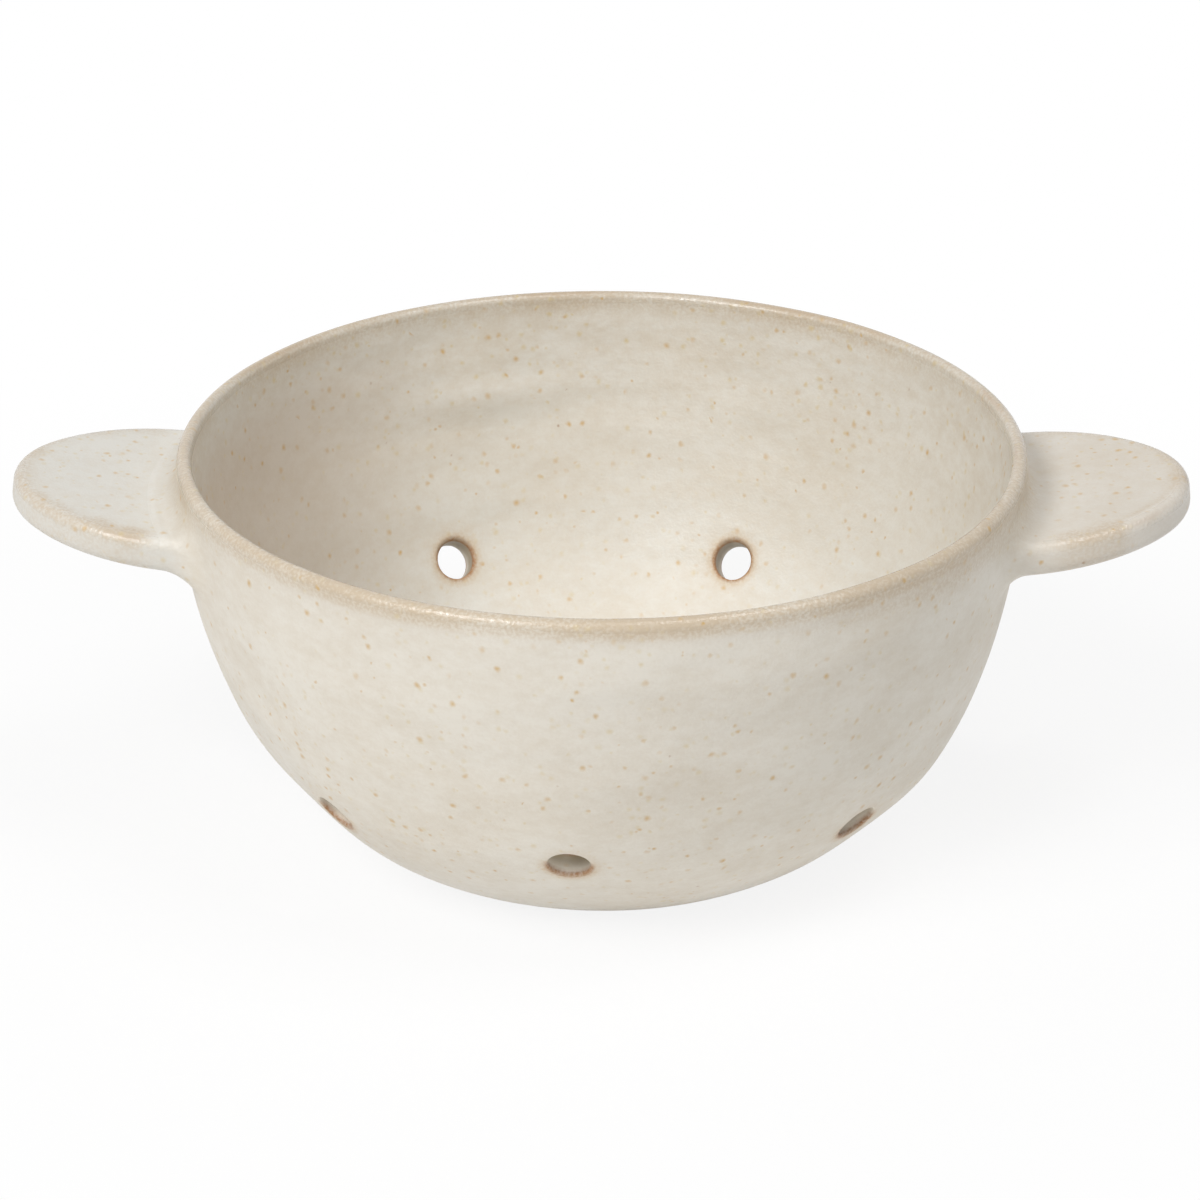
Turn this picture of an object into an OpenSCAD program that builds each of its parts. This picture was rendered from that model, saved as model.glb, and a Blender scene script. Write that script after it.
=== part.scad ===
// Stoneware berry bowl with drain holes and two lug handles, in millimetres.
// Origin at the middle of the base, +Z up, front towards -Y, +X along the right handle.

/* [Bowl] */
// Outside diameter at the rim
rim_d = 124; // [114:1:136]
// Height of the rim above the table
bowl_h = 60; // [54:1:68]
// Diameter of the base on the table
base_d = 65; // [58:1:70]
// Thickness of the lower wall
wall_t = 3.8; // [3.2:0.1:5]
// Thickness of the lip, to which the upper wall thins
lip_t = 2; // [1.9:0.1:3]
// Radius of the lip's outer edge
lip_out_r = 1.3; // [0.6:0.1:1.3]
// Radius of the lip's inner edge
lip_in_r = 0.5; // [0.2:0.1:0.5]
// Lean of the wall from upright where it leaves the base
base_lean = 65; // [56:1:66]
// Lean of the wall from upright at the rim
rim_lean = 1.5; // [0.5:0.5:5]
// Height of the inside floor above the table
floor_z = 6; // [5:0.1:8]
// Radius of the inside curve from the floor to the wall
floor_curve_r = 18; // [12:1:22]
// Width of the flat foot ring
foot_w = 6; // [4:0.5:9]
// Depth of the hollow inside the foot ring
foot_hollow = 1.2; // [0.6:0.1:2]

/* [Drain holes] */
// Diameter of every drain hole
drain_d = 6; // [4:0.5:7.5]
// Width of the softened edge round each mouth
drain_edge = 0.5; // [0.2:0.1:1]
// Height of the wall holes, at their outer mouths
drain_z = 18; // [16:0.5:20]
// Turns of the hand-spaced wall holes from the front, towards the right
drain_turns = [-103, -48, -5, 45, 103, 155, 208]; // turns at least 12 apart
// Lift of each wall hole off that height, made by eye, in the same order
drain_lifts = [0.2, -1, 0.2, -1.5, -0.4, 0.2, 0.8]; // each from -1.5 to 1.5
// Holes in the ring round the middle of the floor
floor_drains = 6; // [4:1:8]
// Diameter of the ring of floor holes
floor_ring_d = 26; // [22:1:34]

/* [Handles] */
// Width of a handle at its root
handle_w = 42; // [37:1:50]
// Reach of a handle beyond the rim
handle_reach = 24.5; // [20:0.5:30]
// Radius of a handle's round end
handle_tip_r = 17.5; // [14:0.5:20]
// Thickness of a handle
handle_t = 5.2; // [4.4:0.1:6.4]
// Radius of a handle's upper edge
handle_over_r = 1.2; // [0.6:0.1:1.8]
// Radius of a handle's lower edge
handle_under_r = 2; // [1:0.1:2.5]
// Drop from the top of the rim to the middle of a handle's root
handle_drop = 9.4; // [9:0.2:14]
// Upward tilt of a handle
handle_tilt = 7; // [0:0.5:12]
// Radius of a seam coil above its handle
seam_over_r = 4; // [2:0.1:4.4]
// Radius of the seam coil below the left handle
left_seam_under_r = 5.2; // [2:0.1:7]
// Radius of the seam coil below the right handle
right_seam_under_r = 3; // [2:0.1:7]

/* [Hidden] */
$fn = 96;
glaze = "#e6dfd1";
coil_glaze = "#d9cfbc";
// Cuts run this far past the faces that they open
past = 1;
// Straight steps in each arc of an outline
arc_steps = 16;

// Points along an arc
function arc(centre, r, from, to) =
    [for (k = [0 : arc_steps]) let (a = from + (to - from) * k / arc_steps) centre + r * [cos(a), sin(a)]];

// Directions along the wall and square to it, outwards, at a lean from upright
function along(lean) = [sin(lean), cos(lean)];
function outward(lean) = [cos(lean), -sin(lean)];

// The outside of the wall is two arcs that run smoothly together, from the base to the lip
rim_r = rim_d / 2;
base_p = [base_d / 2, 0];
rim_p = [rim_r, bowl_h - lip_out_r * (1 + sin(rim_lean))];
span = rim_p - base_p;
lean_sum = along(base_lean) + along(rim_lean);
bend = 2 * (1 - along(base_lean) * along(rim_lean));
tangent_l = (sqrt(pow(span * lean_sum, 2) + bend * (span * span)) - span * lean_sum) / bend;
meet_p = (base_p + rim_p + tangent_l * (along(base_lean) - along(rim_lean))) / 2;

// Radius of the arc that leaves a point at a lean and runs through the meeting point
function arc_r(p, lean) = (meet_p - p) * (meet_p - p) / (2 * outward(lean) * (p - meet_p));
low_r = arc_r(base_p, base_lean);
low_c = base_p - low_r * outward(base_lean);
up_r = arc_r(rim_p, rim_lean);
up_c = rim_p - up_r * outward(rim_lean);
meet_a = atan2(meet_p.y - low_c.y, meet_p.x - low_c.x);

// The lip is round outside and crisp inside, and one arc thins the wall up to it
lip_out_c = rim_p - lip_out_r * outward(rim_lean);
lip_in_c = [rim_r - lip_t + lip_in_r, bowl_h - lip_in_r];
meet_n = [cos(meet_a), sin(meet_a)];
thin_p = meet_p - wall_t * meet_n;
thin_span = thin_p - lip_in_c;
thin_r = (thin_span * thin_span - pow(lip_in_r, 2)) / (2 * (thin_span * meet_n + lip_in_r));
thin_c = thin_p - thin_r * meet_n;
touch_a = atan2(lip_in_c.y - thin_c.y, lip_in_c.x - thin_c.x);

// Radius of the outside at a height, on the lower arc and on the upper one
function low_wall_r(z) = low_c.x + sqrt(pow(low_r, 2) - pow(z - low_c.y, 2));
function up_wall_r(z) = up_c.x + sqrt(pow(up_r, 2) - pow(z - up_c.y, 2));

// The inside curve touches the floor and the lower arc's inner face
curve_z = floor_z + floor_curve_r;
curve_gap = low_r - wall_t - floor_curve_r;
curve_c = [low_c.x + sqrt(pow(curve_gap, 2) - pow(curve_z - low_c.y, 2)), curve_z];
curve_a = atan2(curve_c.y - low_c.y, curve_c.x - low_c.x);
foot_in = base_d / 2 - foot_w;

// Wall holes run square to the wall, so they dip with their height
drain_r = drain_d / 2;
function drain_dip(z) = asin((low_c.y - z) / low_r);

// A handle's outline is a round end between two flatter side arcs, on a root that reaches into the wall
handle_half_w = handle_w / 2;
handle_z = bowl_h - handle_drop;
side_r = (pow(handle_reach, 2) + pow(handle_half_w, 2) - 2 * handle_reach * handle_tip_r)
    / (2 * (handle_half_w - handle_tip_r));
side_split = atan2(side_r - handle_half_w, handle_reach - handle_tip_r);
root_l = rim_r - sqrt(pow(rim_r, 2) - pow(handle_half_w, 2)) + wall_t;
edge_steps = 6;
quarter = [for (k = [0 : edge_steps]) 90 * k / edge_steps];

function handle_outline(inset) = concat(
    [[-root_l, inset - handle_half_w]],
    arc([0, side_r - handle_half_w], side_r - inset, -90, -side_split),
    arc([handle_reach - handle_tip_r, 0], handle_tip_r - inset, -side_split, side_split),
    arc([0, handle_half_w - side_r], side_r - inset, side_split, 90),
    [[-root_l, handle_half_w - inset]]
);

// Insets and heights up a handle's edge, from the underside to the top
edge_rings = concat(
    [for (a = quarter) [handle_under_r * (1 - sin(a)), handle_under_r * (1 - cos(a)) - handle_t / 2]],
    [for (a = quarter) [handle_over_r * (1 - cos(a)), handle_t / 2 - handle_over_r * (1 - sin(a))]]
);

// Points round a handle's root, each as a corner's middle, its radius and a direction from there
flat_steps = 16;
over_y = handle_half_w - handle_over_r;
over_z = handle_t / 2 - handle_over_r;
under_y = handle_half_w - handle_under_r;
under_z = handle_under_r - handle_t / 2;
across = [for (k = [1 : flat_steps - 1]) 2 * k / flat_steps - 1];
root_outline = concat(
    [for (k = across) [k * over_y, over_z, handle_over_r, 90]],
    [for (a = quarter) [over_y, over_z, handle_over_r, 90 - a]],
    [for (a = quarter) [under_y, under_z, handle_under_r, -a]],
    [for (k = across) [-k * under_y, under_z, handle_under_r, -90]],
    [for (a = quarter) [-under_y, under_z, handle_under_r, -90 - a]],
    [for (a = quarter) [-over_y, over_z, handle_over_r, 180 - a]]
);

module bowl_profile() {
    polygon(concat(
        [[0, foot_hollow], [foot_in - foot_hollow, foot_hollow], [foot_in, 0]],
        arc(low_c, low_r, -base_lean, meet_a),
        arc(up_c, up_r, meet_a, -rim_lean),
        arc(lip_out_c, lip_out_r, -rim_lean, 90),
        arc(lip_in_c, lip_in_r, 90, 180 + touch_a),
        arc(thin_c, thin_r, touch_a, meet_a),
        arc(low_c, low_r - wall_t, meet_a, curve_a),
        arc(curve_c, floor_curve_r, curve_a, -90),
        [[0, floor_z]]
    ));
}

// A hole along Z through a thickness below Z = 0, with softened edges at both mouths
module drain(thickness) {
    translate([0, 0, -thickness - past])
        cylinder(h = thickness + 2 * past, r = drain_r);
    for (mouth = [0, 1])
        translate([0, 0, -mouth * thickness])
            rotate([mouth * 180, 0, 0])
                translate([0, 0, -drain_edge])
                    cylinder(h = drain_edge + past, r1 = drain_r, r2 = drain_r + drain_edge + past);
}

module bowl_body() {
    color(glaze)
        difference() {
            rotate_extrude()
                bowl_profile();
            for (k = [0 : len(drain_turns) - 1])
                let (z = drain_z + drain_lifts[k])
                    rotate(drain_turns[k] - 90)
                        translate([low_wall_r(z), 0, z])
                            rotate([0, 90 + drain_dip(z), 0])
                                drain(wall_t);
            translate([0, 0, floor_z]) {
                drain(floor_z - foot_hollow);
                for (k = [0 : floor_drains - 1])
                    rotate(360 * k / floor_drains)
                        translate([floor_ring_d / 2, 0, 0])
                            drain(floor_z - foot_hollow);
            }
        }
}

// The wall's upper part filled in, which the handles are cut to fit
module wall_plug() {
    rotate_extrude()
        polygon(concat([[0, meet_p.y]], arc(up_c, up_r, meet_a, -rim_lean), [[0, rim_p.y]]));
}

// A flat lug whose outline draws in over its rounded edges, ring by ring
module lug() {
    count = len(handle_outline(0));
    last = len(edge_rings) - 1;
    points = [for (ring = edge_rings, p = handle_outline(ring[0])) [p.x, p.y, ring[1]]];
    edges = [
        for (ring = [0 : last - 1], k = [0 : count - 1])
            let (here = ring * count, next = (k + 1) % count)
            [here + k, here + count + k, here + count + next, here + next]
    ];
    underside = [for (k = [0 : count - 1]) k];
    top = [for (k = [count - 1 : -1 : 0]) last * count + k];
    polyhedron(points, concat(edges, [underside, top]));
}

module handle() {
    color(glaze)
        difference() {
            translate([rim_r, 0, handle_z])
                rotate([0, -handle_tilt, 0])
                    lug();
            wall_plug();
        }
}

// Height on the tilted handle, at a distance from the bowl's axis and a lift off its middle
function root_z(x, lift) = handle_z + (x - rim_r) * tan(handle_tilt) + lift / cos(handle_tilt);

// Point beside the root, off the handle's surface and off the wall
function seam_point(root, off_handle, off_wall) =
    let (
        y = root[0] + (root[2] + off_handle) * cos(root[3]),
        lift = root[1] + (root[2] + off_handle) * sin(root[3]),
        rough_x = sqrt(pow(rim_r, 2) - pow(y, 2)) + off_wall,
        x = sqrt(pow(up_wall_r(root_z(rough_x, lift)), 2) - pow(y, 2)) + off_wall
    ) [x, y, root_z(x, lift)];

// A closed ring with a hollow quarter-round face, its back in the corner of wall and handle
module seam_coil(under_r) {
    section = concat([for (a = quarter) [1 - sin(a), 1 - cos(a)]], [[0, 0]]);
    turns = len(root_outline);
    sides = len(section);
    points = [
        for (root = root_outline, s = section)
            let (r = (seam_over_r + under_r + (seam_over_r - under_r) * sin(root[3])) / 2)
            seam_point(root, s[0] * r, s[1] * r)
    ];
    faces = [
        for (t = [0 : turns - 1], s = [0 : sides - 1])
            let (here = t * sides, there = (t + 1) % turns * sides, next = (s + 1) % sides)
            [here + s, there + s, there + next, here + next]
    ];
    color(coil_glaze)
        polyhedron(points, faces);
}

bowl_body();
mirror([1, 0, 0]) handle();  // left_handle
handle();  // right_handle
mirror([1, 0, 0]) seam_coil(left_seam_under_r);  // left_seam_coil
seam_coil(right_seam_under_r);  // right_seam_coil
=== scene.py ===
# Stoneware berry bowl with drain holes and two lug handles
from math import atan2, ceil, cos, exp, pi, radians, sin, sqrt, tan

import bmesh
import bpy
import numpy as np
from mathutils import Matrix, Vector, noise


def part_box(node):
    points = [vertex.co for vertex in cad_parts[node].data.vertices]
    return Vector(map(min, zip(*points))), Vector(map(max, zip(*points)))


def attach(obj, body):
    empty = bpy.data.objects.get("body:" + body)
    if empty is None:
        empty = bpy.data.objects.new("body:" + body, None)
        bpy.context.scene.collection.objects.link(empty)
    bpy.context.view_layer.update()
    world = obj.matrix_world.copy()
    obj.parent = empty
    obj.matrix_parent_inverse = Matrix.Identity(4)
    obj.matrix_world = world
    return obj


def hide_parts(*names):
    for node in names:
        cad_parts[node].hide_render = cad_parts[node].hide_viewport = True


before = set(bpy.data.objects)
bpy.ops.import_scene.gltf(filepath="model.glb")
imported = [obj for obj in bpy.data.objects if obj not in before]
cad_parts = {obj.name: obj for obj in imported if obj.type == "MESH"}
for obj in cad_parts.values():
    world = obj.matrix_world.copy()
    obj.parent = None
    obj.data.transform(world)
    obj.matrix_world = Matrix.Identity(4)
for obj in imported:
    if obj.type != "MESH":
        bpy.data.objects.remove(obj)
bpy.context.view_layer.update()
mm = 0.001  # shapes are worked out in millimetres, and the meshes end up in metres
print("frame loaded:", ", ".join(sorted(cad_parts)))


# Helpers for wire outlines, fields and meshes

def sweepArc(bm, vert, centre, axis, turn, step, fewest=3):
    length = abs(turn) * (vert.co - Vector(centre)).length
    steps = max(fewest, ceil(length / step))
    swept = bmesh.ops.spin(bm, geom=[vert], cent=centre, axis=axis, angle=turn, steps=steps)
    return next(item for item in swept["geom_last"] if isinstance(item, bmesh.types.BMVert))


# Straight line, drawn in one piece unless a step is given
def lineTo(bm, vert, point, step=1e3):
    start = vert.co.copy()
    end = Vector(point)
    steps = max(1, ceil((end - start).length / step))
    for k in range(steps):
        vert = bmesh.ops.extrude_vert_indiv(bm, verts=[vert])["verts"][0]
        vert.co = start.lerp(end, (k + 1) / steps)
    return vert


# Distance outside two faces at once, with the edge between them rounded
def roundedEdge(a, b, radius):
    outside = np.hypot(np.maximum(a + radius, 0), np.maximum(b + radius, 0))
    return np.minimum(np.maximum(a, b), -radius) + outside


# Moves points along the slope of a field until they lie on its surface
def settle(points, field, passes=4, nudge=0.01, leastSteep=0.2):
    for _ in range(passes):
        gap = field(points)
        slope = np.stack([(field(points + step) - field(points - step)) / (2 * nudge)
                          for step in nudge * np.eye(3)], axis=1)
        steep = np.maximum((slope ** 2).sum(axis=1), leastSteep)
        points = points - slope * (gap / steep)[:, None]
    return points


def fadeIn(values, start, end):
    t = np.clip((values - start) / (end - start), 0, 1)
    return t * t * (3 - 2 * t)


def newObject(name, mesh):
    made = bpy.data.objects.new(name, mesh)
    bpy.context.scene.collection.objects.link(made)
    return made


# Full turn of all that has been drawn
def turnRound(bm, centre, axis, steps):
    drawn = bm.verts[:] + bm.edges[:]
    bmesh.ops.spin(bm, geom=drawn, cent=centre, axis=axis, angle=2 * pi, steps=steps, use_merge=True)


def weld(bm, distance):
    bmesh.ops.remove_doubles(bm, verts=bm.verts[:], dist=distance)


def meshOf(bm, name):
    mesh = bpy.data.meshes.new(name)
    bm.to_mesh(mesh)
    bm.free()
    return mesh


def closedMesh(bm, name):
    bmesh.ops.recalc_face_normals(bm, faces=bm.faces[:])
    return meshOf(bm, name)


def pointsOf(mesh):
    flat = np.empty(len(mesh.vertices) * 3)
    mesh.vertices.foreach_get("co", flat)
    return flat.reshape(-1, 3)


# Even skin over a rough mesh
def evenSkin(mesh, voxel):
    rough = newObject("rough", mesh)
    skin = rough.modifiers.new("skin", "REMESH")
    skin.mode = "VOXEL"
    skin.voxel_size = voxel
    bpy.context.view_layer.update()
    skinned = rough.evaluated_get(bpy.context.evaluated_depsgraph_get())
    even = bpy.data.meshes.new_from_object(skinned)
    bpy.data.objects.remove(rough)
    return even


# Hand shaping: every piece is moved by the same soft dents, so that they still meet
hand = {
    "dentSize": 21.0,
    "dentDepth": 0.45,
    "leanSize": 70.0,
    "leanDepth": 0.25,
    "leanShift": (7.3, 2.1, 5.7),  # keeps the lean and the rim's dips apart from the dents
    "rimDip": 0.45,
    "smallSize": 8.0,
    "smallDepth": 0.06,
    "still": (14.0, 34.0),  # no push this near the middle, full push this far out
    "lowShare": 0.2,  # of the push at the foot
    "inwardOnly": (30.0, 52.0),  # lower down the wall may also swell out, near the rim it may not
    "thumbMarks": (  # middle of each mark, its width and height, and how deep it goes
        ((-45, -24, 17), (10, 10), 1.4),
        ((-38.5, -21, 8.5), (9, 9), 2.6),
        ((-56, -8, 42), (13, 13), -0.5),
        ((51, -12, 25), (10, 10), -0.5),
        ((46, -26, 17), (9, 9), -1.2),
        ((37, -24, 8), (8, 8), 1.7),
        ((-5, -55, 26), (11, 11), -1),
        ((-4, -45, 9), (9, 9), 2),
        ((-19, 55, 44.5), (13, 2.8), 1),
        ((4, 56, 38), (15, 3.2), 0.4),
        ((-17, -54, 34), (12, 3.4), 0.45),
        ((13, -55, 27.5), (10, 3), 0.45),
        ((40, -40, 38), (11, 3.4), 0.4),
    ),
}


def handShaped(points):
    shaped = points.copy()
    out = np.hypot(points[:, 0], points[:, 1])
    push = fadeIn(out, *hand["still"])
    bias = fadeIn(points[:, 2], *hand["inwardOnly"])
    leanShift = Vector(hand["leanShift"])
    marks = np.zeros(len(points))
    for middle, size, depth in hand["thumbMarks"]:
        reach = (points - np.array(middle)) / np.array([size[0], size[0], size[1]])
        marks += depth * np.exp(-(reach ** 2).sum(axis=1))
    for k, point in enumerate(points):
        place = Vector(point)
        dent = bias[k] + noise.noise(place / hand["dentSize"])
        lean = bias[k] + noise.noise(place / hand["leanSize"] + leanShift)
        small = bias[k] + noise.noise(place / hand["smallSize"])
        dip = 0.5 + 0.5 * noise.noise(place / hand["leanSize"] - leanShift)
        inward = dent * hand["dentDepth"] + lean * hand["leanDepth"]
        inward += small * hand["smallDepth"]
        inward = inward / 2 + marks[k]  # bias and noise together reach 2
        inward = inward * push[k] * min(1.0, hand["lowShare"] + point[2] / fullHeight)
        if out[k] > 0:
            shaped[k, 0] -= inward * point[0] / out[k]
            shaped[k, 1] -= inward * point[1] / out[k]
        shaped[k, 2] -= dip * hand["rimDip"] * point[2] / fullHeight
    return shaped


def finishPiece(name, node, mesh, points, masks, material):
    mesh.vertices.foreach_set("co", (handShaped(points) * mm).ravel())
    for mask, values in masks.items():
        mesh.attributes.new(mask, "FLOAT", "POINT").data.foreach_set("value", values)
    mesh.polygons.foreach_set("use_smooth", [True] * len(mesh.polygons))
    mesh.materials.clear()
    mesh.materials.append(material)
    mesh.update()
    piece = newObject(name, mesh)
    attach(piece, "root")
    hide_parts(node)
    print(name, "made,", len(mesh.polygons), "faces")


# Shader helpers: a value is either a plain number or colour, or a socket to link
def put(tree, kind, inputs=None, **settings):
    node = tree.nodes.new(kind)
    for name, value in settings.items():
        setattr(node, name, value)
    for name, value in (inputs or {}).items():
        if isinstance(value, bpy.types.NodeSocket):
            tree.links.new(value, node.inputs[name])
        else:
            node.inputs[name].default_value = value
    return node


def calc(tree, operation, a, b, clamp=False):
    return put(tree, "ShaderNodeMath", {0: a, 1: b}, operation=operation, use_clamp=clamp).outputs[0]


def remap(tree, value, low, high, toLow=0.0, toHigh=1.0, smooth=True):
    spread = {"Value": value, "From Min": low, "From Max": high, "To Min": toLow, "To Max": toHigh}
    kind = "SMOOTHSTEP" if smooth else "LINEAR"
    return put(tree, "ShaderNodeMapRange", spread, interpolation_type=kind).outputs["Result"]


def mixPaint(tree, amount, under, over):
    return put(tree, "ShaderNodeMix", {0: amount, 6: under, 7: over}, data_type="RGBA").outputs[2]


# A screen's colour levels turned into linear light
def paint(red, green, blue):
    shares = [value / 255 for value in (red, green, blue)]
    linear = [share / 12.92 if share <= 0.04045 else ((share + 0.055) / 1.055) ** 2.4
              for share in shares]
    return (*linear, 1.0)


def noiseAt(tree, place, **settings):
    return put(tree, "ShaderNodeTexNoise", {"Vector": place, **settings}).outputs


def vectorCalc(tree, operation, a, b):
    return put(tree, "ShaderNodeVectorMath", {0: a, 1: b}, operation=operation).outputs[0]


# A group that takes a place and some numbers, and gives numbers
def newGroup(name, inputs, outputs):
    group = bpy.data.node_groups.new(name, "ShaderNodeTree")
    group.interface.new_socket("Place", in_out="INPUT", socket_type="NodeSocketVector")
    for socket in inputs:
        group.interface.new_socket(socket, in_out="INPUT", socket_type="NodeSocketFloat")
    for socket in outputs:
        group.interface.new_socket(socket, in_out="OUTPUT", socket_type="NodeSocketFloat")
    return group, group.nodes.new("NodeGroupInput").outputs, group.nodes.new("NodeGroupOutput").inputs


# Soft spots of iron in clumps, each cell of the pattern with a size of its own
spotPattern = {
    "wobble": {"Scale": 0.8, "Detail": 2.0},
    "wobbleReach": (0.7, 0.7, 0.7),
    "clumps": {"Scale": 0.05, "Detail": 2.0},
    "clumpRange": (0.3, 0.7),
    "clumpShare": (0.35, 1.5),  # times the share of spots, between the clumps and inside them
    "depth": (0.45, 1.0),  # faintest and deepest spot
}


def speckleGroup():
    group, given, result = newGroup("ironSpeckles", ("Spacing", "Least", "Most", "Share"), ("Mask",))
    scale = calc(group, "DIVIDE", 1.0, given["Spacing"])
    wobble = noiseAt(group, given["Place"], **spotPattern["wobble"])["Color"]
    shift = vectorCalc(group, "MULTIPLY", wobble, spotPattern["wobbleReach"])
    bent = vectorCalc(group, "ADD", given["Place"], shift)
    cells = put(group, "ShaderNodeTexVoronoi", {"Vector": bent, "Scale": scale}).outputs
    chance = put(group, "ShaderNodeSeparateColor", {"Color": cells["Color"]}).outputs
    radius = remap(group, chance["Red"], 0.0, 1.0, given["Least"], given["Most"], smooth=False)
    away = calc(group, "MULTIPLY", cells["Distance"], given["Spacing"])
    spot = remap(group, away, radius, 0.0)
    clumps = noiseAt(group, given["Place"], **spotPattern["clumps"])["Fac"]
    clumped = remap(group, clumps, *spotPattern["clumpRange"], *spotPattern["clumpShare"])
    picked = calc(group, "LESS_THAN", chance["Green"], calc(group, "MULTIPLY", given["Share"], clumped))
    depth = remap(group, chance["Blue"], 0.0, 1.0, *spotPattern["depth"], smooth=False)
    group.links.new(calc(group, "MULTIPLY", calc(group, "MULTIPLY", spot, picked), depth), result["Mask"])
    return group


# Soft clouds of thicker and thinner glaze, drawn out level by the turning wheel
cloudPattern = {
    "wipe": (1.0, 1.0, 1.7),
    "noise": {"Detail": 4.0, "Roughness": 0.6},
}


def cloudGroup():
    group, given, result = newGroup("glazeClouds", ("Size", "Contrast"), ("Cloud",))
    scale = calc(group, "DIVIDE", 1.0, given["Size"])
    wiped = vectorCalc(group, "MULTIPLY", given["Place"], cloudPattern["wipe"])
    clouds = noiseAt(group, wiped, Scale=scale, **cloudPattern["noise"])["Fac"]
    half = calc(group, "DIVIDE", 0.5, given["Contrast"])
    low = calc(group, "SUBTRACT", 0.5, half)
    high = calc(group, "ADD", 0.5, half)
    group.links.new(remap(group, clouds, low, high), result["Cloud"])
    return group


# Edges where the glaze runs thin: broken up by grains and patches, and burnt brown in a few places
toastPattern = {
    "grains": {"Scale": 2.2, "Detail": 3.0},
    "patches": {"Scale": 0.05, "Detail": 3.0},
    "noiseRange": (0.3, 0.7),
    "noiseShare": 0.5,  # of the grains and of the patches alike
    "least": 0.4,  # tan that is left where both are lowest
    "tan": (0.0, 1.1),
    "hot": (0.3, 0.9),  # patches between which the line burns
    "heat": (0.15, 1.0),
}


def toastGroup():
    group, given, result = newGroup("toastedEdges", ("Edge", "Line"), ("Tan", "Burnt", "Grain"))
    grains = noiseAt(group, given["Place"], **toastPattern["grains"])["Fac"]
    patches = noiseAt(group, given["Place"], **toastPattern["patches"])["Fac"]
    grain = remap(group, grains, *toastPattern["noiseRange"])
    patch = remap(group, patches, *toastPattern["noiseRange"])
    shares = [calc(group, "MULTIPLY", part, toastPattern["noiseShare"]) for part in (grain, patch)]
    broken = calc(group, "ADD", *shares)
    edge = calc(group, "MULTIPLY", given["Edge"], calc(group, "ADD", broken, toastPattern["least"]))
    group.links.new(remap(group, edge, *toastPattern["tan"]), result["Tan"])
    group.links.new(grain, result["Grain"])
    hot = remap(group, patch, *toastPattern["hot"], *toastPattern["heat"])
    group.links.new(calc(group, "MULTIPLY", given["Line"], hot), result["Burnt"])
    return group


# Height in millimetres of the glazed surface: finger dents, throwing rings and a fine unevenness
surfacePattern = {  # waves per millimetre sideways and upwards, and their detail
    "dents": ((0.04, 0.04, 0.085), 1.0),
    "rings": ((0.012, 0.012, 0.28), 2.0),
    "peel": ((0.55, 0.55, 0.55), 3.0),
}


def surfaceGroup():
    group, given, result = newGroup("thrownSurface", ("Dents", "Rings", "Uneven"), ("Height",))

    def ripple(kind, amount):
        stretch, detail = surfacePattern[kind]
        stretched = vectorCalc(group, "MULTIPLY", given["Place"], stretch)
        return calc(group, "MULTIPLY", noiseAt(group, stretched, Scale=1.0, Detail=detail)["Fac"], amount)

    dents = ripple("dents", given["Dents"])
    rings = ripple("rings", given["Rings"])
    peel = ripple("peel", given["Uneven"])
    group.links.new(calc(group, "ADD", calc(group, "ADD", dents, rings), peel), result["Height"])
    return group


shared = {
    "speckles": speckleGroup(),
    "clouds": cloudGroup(),
    "toast": toastGroup(),
    "surface": surfaceGroup(),
}

glazeColours = {
    "cream": paint(232, 226, 214),
    "milk": paint(226, 224, 217),
    "shade": paint(211, 197, 175),
    # The pink below is painted warm bounce light on the shaded left of the inside, and a pinker tone on
    # the lugs
    "pinkAndPaintedBounce": paint(205, 184, 164),
    "tan": paint(201, 181, 153),
    "burnt": paint(168, 126, 88),
    "iron": paint(206, 166, 92),
    "faint": paint(216, 197, 150),
    "dark": paint(160, 112, 60),
    "pale": paint(234, 231, 224),
    "drainHalo": paint(200, 170, 128),
    "drainRim": paint(160, 110, 62),
    # painted shade deep inside the drains
    "paintedBoreShade": paint(168, 155, 131),
    "bareClay": paint(214, 196, 170),
}
speckles = {
    "strong": {"Spacing": 2.2, "Least": 0.28, "Most": 0.8, "Share": 0.8},
    "faint": {"Spacing": 1.5, "Least": 0.3, "Most": 0.75, "Share": 0.5},
    "dark": {"Spacing": 5.0, "Least": 0.2, "Most": 0.4, "Share": 0.5},
}
glaze = {  # how strongly each layer shows
    "wide": {"Size": 34.0, "Contrast": 3.2},
    "clouds": {"Size": 13.0, "Contrast": 2.7},
    "mottle": {"Size": 2.4, "Contrast": 1.6},
    "rust": {"Size": 6.0, "Contrast": 2.0},
    "cloudShare": 0.5,  # of the wide and of the middling clouds alike
    "shade": (0.36, 0.06),  # most shade, and what the inside near the rim has on top of it
    "calm": 0.22,  # shade that calm glaze goes without
    "mottling": (0.32, 0.2),
    "graining": 0.1,
    # strength of the painted warm bounce light inside and of the lugs' pinker tone
    "pinkAndPaintedBounce": 0.5,
    "rustRange": (0.4, 1.1),
    "rusty": 0.11,
    "faint": (0.55, 0.3),
    "strong": 0.85,
    "dark": 0.7,
    "poolBreak": (0.6, 1.4),
    "poolRange": (0.3, 0.8),
    "pool": 0.5,
    "fuzz": (0.6, 1.0),  # lines and halos are broken up by the grain
    "paleLine": 0.28,
    "burnt": 0.6,
    "drainHalo": 0.7,
    "drainRim": 0.95,
    "rough": (0.44, 0.52),
    "edgeGloss": 0.28,
    "bareRough": 0.4,
    "dents": 1.3,  # heights in millimetres
    "uneven": 0.06,
    "spotPit": 0.02,
    "grainHeight": 0.012,
    "edgeGrain": 0.02,
}


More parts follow.
